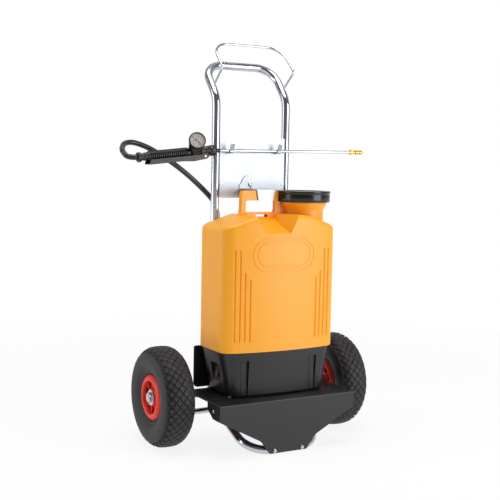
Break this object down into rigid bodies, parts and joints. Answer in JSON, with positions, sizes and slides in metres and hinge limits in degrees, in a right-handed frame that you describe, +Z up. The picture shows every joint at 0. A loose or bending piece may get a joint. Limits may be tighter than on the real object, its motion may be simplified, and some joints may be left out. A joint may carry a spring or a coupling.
{
  "type": "wheeled sprayer cart",
  "caption": "Chromed tube hand cart with pneumatic wheels and a sheet-steel platform, carrying a knapsack battery sprayer whose spray lance and gauge hang in hooks between the uprights.",
  "frame": {"origin": "on the ground, in the middle of the cart's box, its free hose left out", "axes": "+Z up; the cart's front faces -Y; +X to the right seen from the front, where the lance's nozzle points"},
  "size_m": [0.7222, 0.334, 1.0495],
  "materials": {
    "chrome_tube": "bright chrome plate",
    "zinc": "bright zinc plate",
    "black_paint": "satin black powder coat",
    "black_plastic": "fine-grained black moulding",
    "cap_plastic": "black screw-cap moulding",
    "orange_plastic": "satin orange-yellow blow moulding",
    "strainer_plastic": "natural white moulding",
    "tyre_rubber": "block-tread black tyre",
    "butyl": "smooth black butyl",
    "red_plastic": "satin red moulding",
    "bearing_steel": "ground steel",
    "hose_rubber": "smooth black hose",
    "dial": "printed grey-beige dial",
    "needle_black": "black pointer",
    "lens": "clear lens",
    "lance_steel": "polished stainless steel",
    "brass": "bright turned brass",
    "switch_rocker": "glossy black rocker",
    "clear_pipe": "milky pipe"
  },
  "bodies": {
    "cart": {"frame_tube": "chrome_tube", "wire_hoop": "chrome_tube", "lower_cross_tube": "chrome_tube", "tube_plugs": "black_plastic", "axle": "zinc", "axle_collars": "zinc", "axle_washers": "zinc", "axle_nuts": "zinc", "axle_brackets": "zinc", "platform": "black_paint", "corner_rivets": "black_paint", "apron_bolts": "zinc", "back_plate": "black_paint", "back_plate_bolts": "zinc", "lance_plate": "zinc", "plate_rivets": "zinc", "catch_screw": "zinc", "tank": "orange_plastic", "base_housing": "black_plastic", "battery": "black_plastic", "pump_motor": "bearing_steel", "pump_body": "black_plastic", "delivery_pipe": "clear_pipe", "switch_bezel": "black_plastic", "outlet_elbow": "black_plastic", "outlet_nut": "black_plastic", "hose": "hose_rubber"},
    "wheel_left": {"tyre_left": "tyre_rubber", "inner_tube_left": "butyl", "rim_left": "red_plastic", "bearings_left": "bearing_steel"},
    "wheel_right": {"tyre_right": "tyre_rubber", "inner_tube_right": "butyl", "rim_right": "red_plastic", "bearings_right": "bearing_steel"},
    "strainer": {"strainer_basket": "strainer_plastic"},
    "gasket": {"cap_gasket": "butyl"},
    "cap": {"filler_cap": "cap_plastic"},
    "catch": {"tank_catch": "zinc"},
    "lance": {"lance_handle": "black_plastic", "hose_tail": "black_plastic", "trigger_pin": "bearing_steel", "gauge_case": "black_plastic", "gauge_dial": "dial", "gauge_lens": "lens", "lance_nut": "black_plastic", "lance_tube": "lance_steel", "nozzle_holder": "brass"},
    "trigger": {"trigger": "black_plastic"},
    "nozzle": {"nozzle_tip": "brass"},
    "needle": {"gauge_needle": "needle_black"},
    "rocker": {"rocker_switch": "switch_rocker"},
    "shaft": {"motor_shaft": "bearing_steel"}
  },
  "joints": [
    {"name": "wheel_left_spin", "type": "hinge", "parent": "cart", "child": "wheel_left", "pos_m": [-0.263, 0.037, 0.13], "axis": [1, 0, 0], "continuous": true},
    {"name": "wheel_right_spin", "type": "hinge", "parent": "cart", "child": "wheel_right", "pos_m": [0.263, 0.037, 0.13], "axis": [1, 0, 0], "continuous": true},
    {"name": "strainer_lift", "type": "slide", "parent": "cart", "child": "strainer", "axis": [0, 0, 1], "range_m": [0, 0.09]},
    {"name": "cap_lift", "type": "slide", "parent": "strainer", "child": "gasket", "axis": [0, 0, 1], "range_m": [0, 0.08]},
    {"name": "cap_turn", "type": "hinge", "parent": "gasket", "child": "cap", "pos_m": [0.1046, -0.0385, 0.65], "axis": [0, 0, 1], "continuous": true},
    {"name": "catch_lift", "type": "slide", "parent": "cart", "child": "catch", "axis": [0, 0, 1], "range_m": [0, 0.027]},
    {"name": "lance_lift", "type": "slide", "parent": "cart", "child": "lance", "axis": [0, 0, 1], "range_m": [0, 0.1], "deforming": ["hose"]},
    {"name": "trigger_squeeze", "type": "hinge", "parent": "lance", "child": "trigger", "pos_m": [-0.15489, 0.039, 0.74913], "axis": [0, 1, 0], "range_deg": [0, 2.4], "stiffness_Nm_per_rad": 2, "springref_deg": -2.86},
    {"name": "nozzle_turn", "type": "hinge", "parent": "lance", "child": "nozzle", "pos_m": [0.33497, 0.039, 0.76896], "axis": [0.9999, 0, 0.0105], "range_deg": [0, 360]},
    {"name": "gauge_needle_swing", "type": "hinge", "parent": "lance", "child": "needle", "pos_m": [-0.187, 0.006, 0.789], "axis": [0.2475, 0.9237, -0.2924], "range_deg": [0, 270], "stiffness_Nm_per_rad": 0.001, "springref_deg": -5.73},
    {"name": "rocker_tip", "type": "hinge", "parent": "cart", "child": "rocker", "pos_m": [-0.138, -0.04, 0.198], "axis": [0, -1, 0], "range_deg": [0, 12]},
    {"name": "motor_spin", "type": "hinge", "parent": "cart", "child": "shaft", "pos_m": [0.049, -0.035, 0.19], "axis": [1, 0, 0], "continuous": true}
  ]
}
